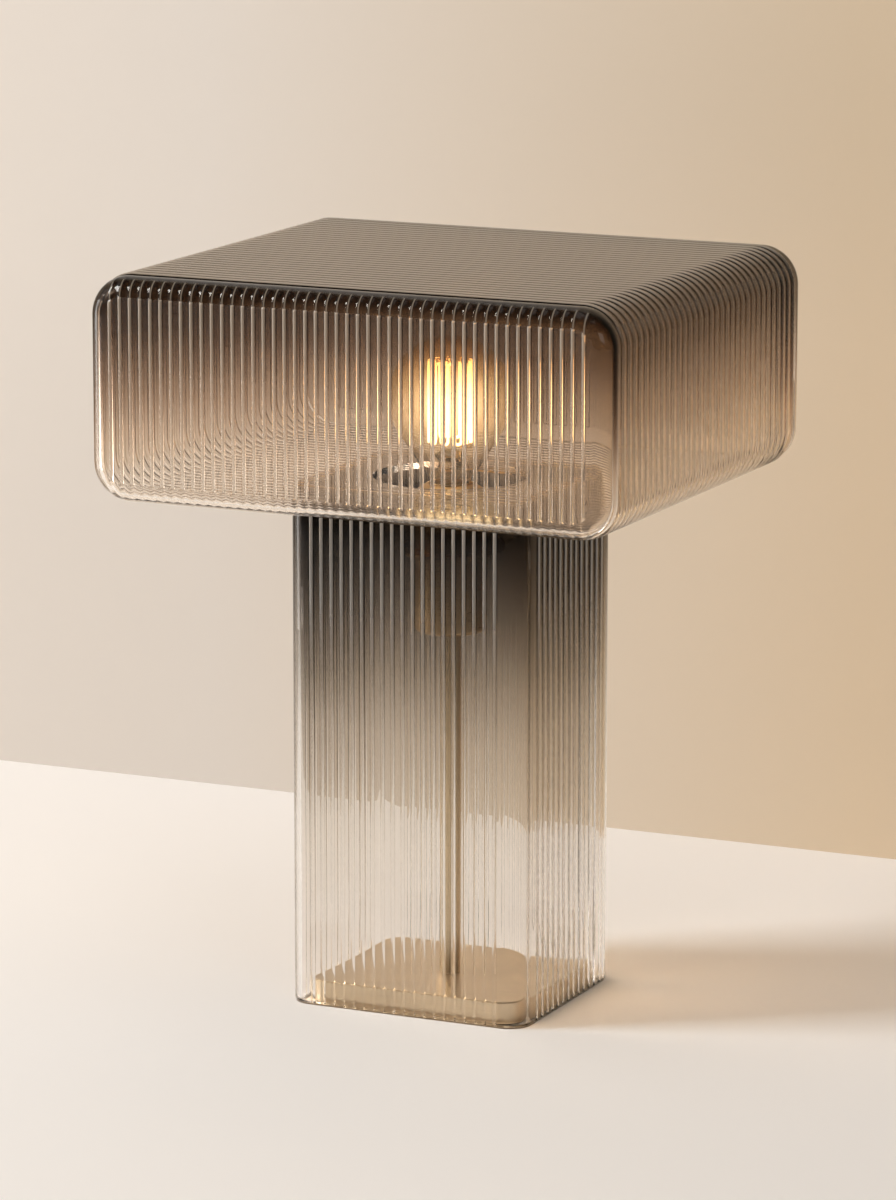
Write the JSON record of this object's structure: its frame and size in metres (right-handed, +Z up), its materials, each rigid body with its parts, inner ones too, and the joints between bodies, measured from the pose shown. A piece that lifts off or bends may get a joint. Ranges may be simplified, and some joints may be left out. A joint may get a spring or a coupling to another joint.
{
  "type": "column table lamp",
  "caption": "Table lamp with a wide ribbed smoked-glass shade resting on a ribbed glass column, around a metal base plate, slim stem, lampholder and round filament bulb.",
  "frame": {"origin": "on the table, under the middle of the base plate and of the glass column", "axes": "+Z up along the stem; +X to the right along the shade's wide side; the wide front faces -Y"},
  "size_m": [0.358, 0.32, 0.48],
  "materials": {
    "smoked_glass": "polished, smoked at the top and fading to clear at the bottom",
    "bulb_glass": "polished, amber tint",
    "clear_glass": "polished",
    "clear_silicone": "translucent, smooth",
    "champagne_metal": "brushed, champagne brass plating",
    "steel": "zinc plated",
    "contact_brass": "bare",
    "porcelain": "glazed",
    "black_rubber": "matt",
    "felt": "pressed felt",
    "brown_insulation": "smooth",
    "blue_insulation": "smooth",
    "white_plastic": "moulded",
    "cap_metal": "rolled thread, satin",
    "black_glass": "glossy vitreous",
    "tin": "soldered",
    "hot_filament": "glowing coil",
    "support_wire": "drawn wire"
  },
  "bodies": {
    "column": {"column_glass": "smoked_glass", "column_foot_ring": "clear_silicone", "column_top_gasket": "clear_silicone"},
    "shade": {"shade_band": "smoked_glass", "shade_front_panel": "smoked_glass", "shade_back_panel": "smoked_glass", "locating_ring": "clear_silicone"},
    "root": {"base_plate": "champagne_metal", "base_felt": "felt", "cord_grommet": "black_rubber", "base_washer": "steel", "base_nut": "steel", "cup_washer": "steel", "cup_nut": "steel", "threaded_tube": "steel", "stem_tube": "champagne_metal", "holder_cup": "champagne_metal", "holder_collar": "champagne_metal", "holder_disc": "champagne_metal", "holder_sleeve": "champagne_metal", "holder_saucer": "champagne_metal", "holder_bracket": "steel", "bracket_screws": "steel", "porcelain_insert": "porcelain", "screw_shell": "contact_brass", "centre_contact": "contact_brass", "terminals": "contact_brass", "terminal_screws": "steel", "live_wire": "brown_insulation", "neutral_wire": "blue_insulation", "cord_terminal_block": "white_plastic"},
    "bulb_core": {"bulb_insulator": "black_glass", "bulb_tip_contact": "tin"},
    "bulb": {"bulb_globe": "bulb_glass", "bulb_cap": "cap_metal", "glass_mount": "clear_glass", "filament_post": "clear_glass", "bulb_filament": "hot_filament", "upper_supports": "support_wire", "lower_supports": "support_wire", "lead_wires": "support_wire"}
  },
  "joints": [
    {"name": "column_lift", "type": "slide", "parent": "root", "child": "column", "axis": [0, 0, 1], "range_m": [0, 0.45]},
    {"name": "shade_lift", "type": "slide", "parent": "column", "child": "shade", "axis": [0, 0, 1], "range_m": [0, 0.13]},
    {"name": "bulb_rise", "type": "slide", "parent": "root", "child": "bulb_core", "axis": [0, 0, 1], "range_m": [0, 0.027]},
    {"name": "bulb_turn", "type": "hinge", "parent": "bulb_core", "child": "bulb", "pos_m": [0, 0, 0.35], "axis": [0, 0, 1], "range_deg": [0, 2678]}
  ],
  "couplings": [
    {"joint": "bulb_rise", "follows": "bulb_turn", "m_per_rad": 0.00057757}
  ]
}
